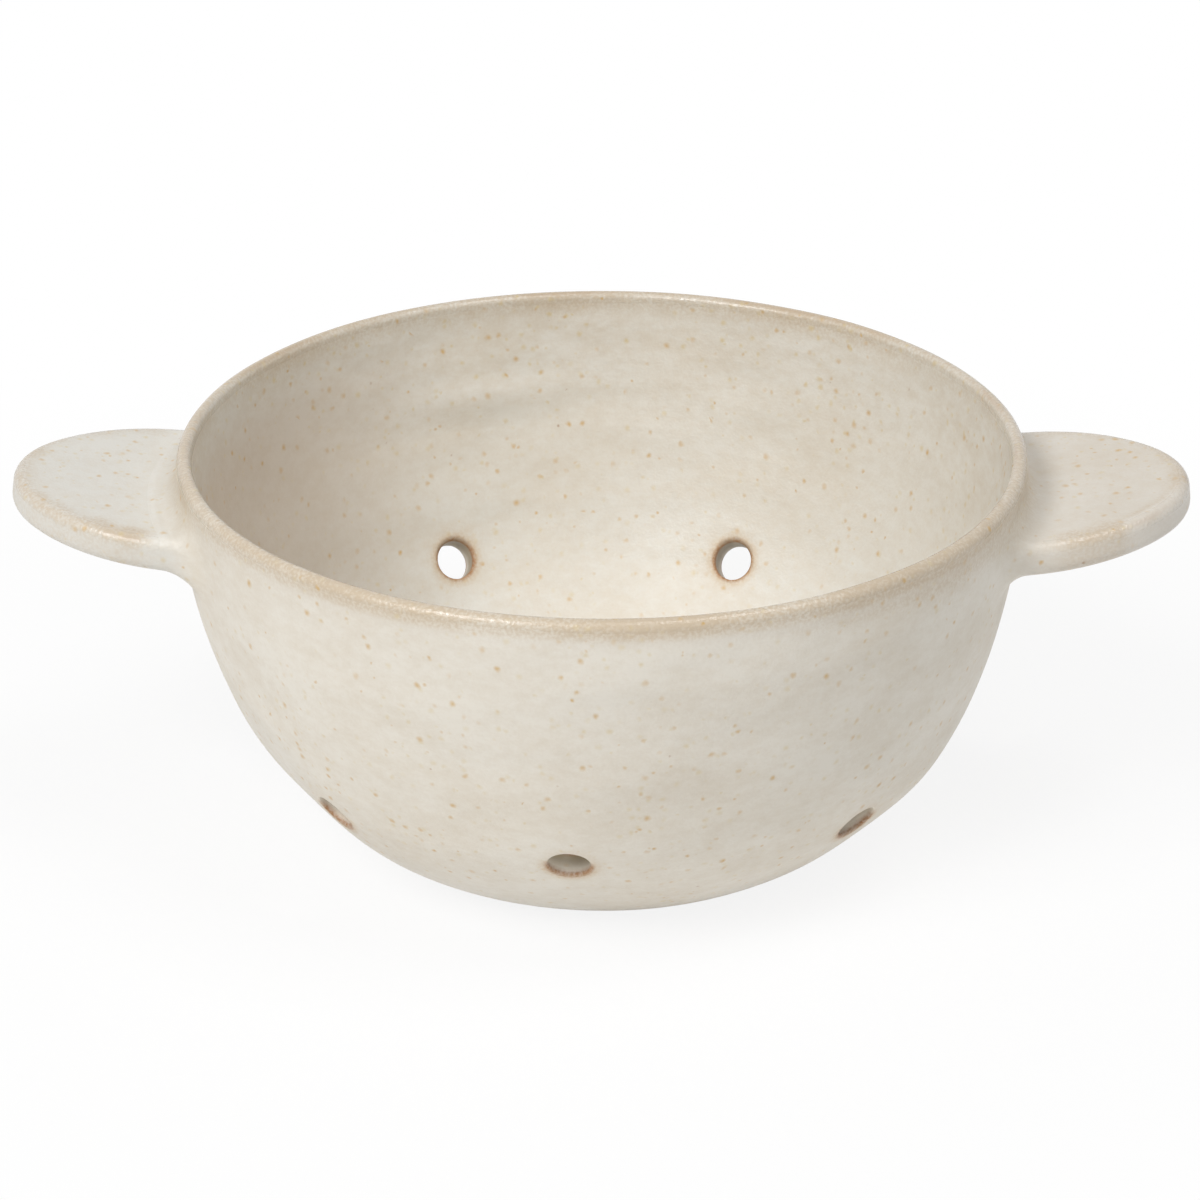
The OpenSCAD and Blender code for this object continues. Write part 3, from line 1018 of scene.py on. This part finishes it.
# Seam coils: clay worked into the corner all round each lug's root
seam = {
    "over": 4.0,
    "under": {"left": 5.2, "right": 3.0},
    "skirt": 0.8,  # thin edge beyond the hollow face
    "lift": 0.012,
    "sunk": 0.03,
    "acrossSteps": 56,
    "quarterSteps": 6,
    "faceSteps": 20,
    "skirtSteps": 3,
    "placePasses": 3,
    "weld": 0.0005,
    "backDepth": 0.6,
    "lugGlaze": (0.5, 4.0),  # the lug's glaze takes over between these distances off the wall
    "ridge": {"left": 0.22, "right": 0.0},  # height of the ridge that the thumb left on top
    "ridgeAt": (3.6, 0.6),  # its distance off the wall, and its width
}


# Points round the root: the middle of each rounded corner, its radius and a direction from there
def rootRing():
    half, top = lug["halfWidth"], lug["thick"] / 2
    over, under = lug["overEdge"], lug["underEdge"]
    corners = [
        (half - over, top - over, over, 90),
        (half - under, under - top, under, 0),
        (under - half, under - top, under, -90),
        (over - half, top - over, over, -180),
    ]
    ring = []
    for k, (across, up, radius, start) in enumerate(corners):
        for j in range(seam["quarterSteps"] + 1):
            ring.append((across, up, radius, start - 90 * j / seam["quarterSteps"]))
        if k % 2:  # a long side follows each second corner
            nextAcross = corners[(k + 1) % len(corners)][0]
            for j in range(1, seam["acrossSteps"]):
                share = j / seam["acrossSteps"]
                ring.append((across + (nextAcross - across) * share, up, radius, start - 90))
    return ring


def wallRadius(up):
    return upCentre[0] + sqrt(upRadius ** 2 - (up - upCentre[1]) ** 2)


# Place off the lug's surface and off the wall, beside a point of the root
def seamPoint(root, fromLug, fromWall, side):
    across, up, radius, direction = root
    sideRadius = lugCurves(side)[0]
    turn = radians(direction)
    tilt = radians(side["tilt"])
    y = across + (radius + fromLug) * cos(turn)
    lift = (up + (radius + fromLug) * sin(turn)) / cos(tilt)
    x = sqrt(rimRadius ** 2 - y ** 2) + fromWall
    for _ in range(seam["placePasses"]):
        z = fullHeight - side["drop"] + (x - rimRadius) * tan(tilt) + lift
        x = sqrt(wallRadius(z) ** 2 - y ** 2) + fromWall
    past = max(0.0, x - rimRadius)
    y -= (sideRadius - sqrt(sideRadius ** 2 - past ** 2)) * cos(turn)
    return Vector((x, y, z))


# Distances off the lug and off the wall across the hollow face, from the wall's edge to the lug's
def seamFace(radius):
    lift = seam["lift"]
    drop = lift + seam["sunk"]
    thin = [k / seam["skirtSteps"] for k in range(seam["skirtSteps"] + 1)]
    skirt = [(radius + seam["skirt"] * t, lift - drop * t * t) for t in thin]
    face = skirt[::-1]
    for k in range(1, seam["faceSteps"]):
        turn = pi / 2 * k / seam["faceSteps"]
        face.append((radius * (1 - sin(turn)) + lift, radius * (1 - cos(turn)) + lift))
    face += [pair[::-1] for pair in skirt]
    return [(-seam["backDepth"], -seam["backDepth"])] + face


def rollSeam(sideName, side):
    ring = rootRing()
    rows = len(seamFace(1.0))
    bm = bmesh.new()
    bmesh.ops.create_grid(bm, x_segments=len(ring), y_segments=rows, size=1)
    low = seam["under"][sideName]
    ridgeOut, ridgeWidth = seam["ridgeAt"]
    for vert in bm.verts:
        root = ring[round((vert.co.x + 1) / 2 * len(ring)) % len(ring)]
        row = round((vert.co.y + 1) / 2 * rows) % rows
        facingUp = sin(radians(root[3]))
        radius = (seam["over"] + low + (seam["over"] - low) * facingUp) / 2
        fromLug, fromWall = seamFace(radius)[row]
        onTop = max(0.0, facingUp) * seam["ridge"][sideName]
        fromLug += onTop * exp(-((fromWall - ridgeOut) / ridgeWidth) ** 2)
        vert.co = seamPoint(root, fromLug, fromWall, side)
    weld(bm, seam["weld"])
    return closedMesh(bm, "seam")


for sideName, side in lugSides.items():
    seamMesh = rollSeam(sideName, side)
    placed = pointsOf(seamMesh)
    wallGap = np.hypot(placed[:, 0], placed[:, 1]) - np.array([wallRadius(up) for up in placed[:, 2]])
    lugShare = fadeIn(wallGap, *seam["lugGlaze"])
    seamMasks = {
        "toastedEdge": lugShare * lugToast(offWall(placed, side), side),
        "milkyGlaze": lugShare * side["milky"],
        "calmGlaze": lugShare * side["calm"],
        # the lug's pinker tone, fading out towards the wall
        "pinkAndPaintedBounce": lugShare * side["pinkAndPaintedBounce"],
    }
    toItsSide(seamMesh, placed, sideName)
    seamMasks["toastedEdge"] += (1 - lugShare) * outerLipToast(placed) * lipToastShare(placed)
    finishPiece(sideName + "_seam", sideName + "_seam_coil", seamMesh, placed, seamMasks, seamGlaze)


# Studio: pale floor, soft key from the upper left, fill from the upper right, even white surround
studio = {
    "floorSize": 6.0,
    "floorWhite": paint(250, 250, 250),
    "floorGlow": (0.87, 1.0),  # near the bowl, and far from it
    "floorGlowFrom": (0.07, 0.2),
    "surround": 0.25,
    "lamps": {
        "key": {"place": (-0.66, -0.785, 1.025), "size": 0.6, "power": 11.6},
        "fill": {"place": (0.48, -0.255, 1.344), "size": 0.6, "power": 5.9},
    },
}


def whiteForCamera(tree):
    path = put(tree, "ShaderNodeLightPath").outputs
    seen = calc(tree, "MAXIMUM", path["Is Camera Ray"], path["Is Glossy Ray"])
    return calc(tree, "MAXIMUM", seen, path["Is Transmission Ray"])


def layFloor():
    bm = bmesh.new()
    bmesh.ops.create_grid(bm, x_segments=1, y_segments=1, size=studio["floorSize"] / 2)
    floor = newObject("floor", meshOf(bm, "floor"))
    material = bpy.data.materials.new("paleFloor")
    material.use_nodes = True
    tree = material.node_tree
    tree.nodes.remove(tree.nodes["Principled BSDF"])
    lit = put(tree, "ShaderNodeBsdfDiffuse", {"Color": studio["floorWhite"]})
    glow = put(tree, "ShaderNodeEmission", {"Color": (1, 1, 1, 1), "Strength": 1.0})
    corner = put(tree, "ShaderNodeTexCoord").outputs["Object"]
    away = put(tree, "ShaderNodeVectorMath", {0: corner}, operation="LENGTH").outputs["Value"]
    amount = remap(tree, away, *studio["floorGlowFrom"], *studio["floorGlow"])
    amount = calc(tree, "MULTIPLY", whiteForCamera(tree), amount)
    mixed = put(tree, "ShaderNodeMixShader", {0: amount, 1: lit.outputs[0], 2: glow.outputs[0]})
    tree.links.new(mixed.outputs[0], tree.nodes["Material Output"].inputs["Surface"])
    floor.data.materials.append(material)


def lightSurround():
    world = bpy.data.worlds.new("surround")
    world.use_nodes = True
    tree = world.node_tree
    background = tree.nodes["Background"]
    background.inputs["Color"].default_value = (1, 1, 1, 1)
    strength = remap(tree, whiteForCamera(tree), 0.0, 1.0, studio["surround"], 1.0, smooth=False)
    tree.links.new(strength, background.inputs["Strength"])
    bpy.context.scene.world = world


def aim(thing, place, target):
    thing.location = place
    thing.rotation_euler = (Vector(target) - thing.location).to_track_quat("-Z", "Y").to_euler()


def hangLamp(name, place, size, power):
    light = bpy.data.lights.new(name, "AREA")
    light.size = size
    light.energy = power
    aim(newObject(name, light), place, (0, 0, fullHeight * mm / 2))


layFloor()
lightSurround()
for lampName, lampSettings in studio["lamps"].items():
    hangLamp(lampName, **lampSettings)
print("studio lit")


# Camera at the photograph's angle
view = {
    "place": (0.0, -0.5705, 0.3028),
    "target": (-0.0003, 0.0, 0.0342),
    "lens": 127.9,
    "sensor": 36.0,
}
cameraData = bpy.data.cameras.new("camera")
cameraData.lens = view["lens"]
cameraData.sensor_width = view["sensor"]
camera = newObject("camera", cameraData)
aim(camera, view["place"], view["target"])
bpy.context.scene.camera = camera
bpy.context.scene.view_settings.view_transform = "Standard"
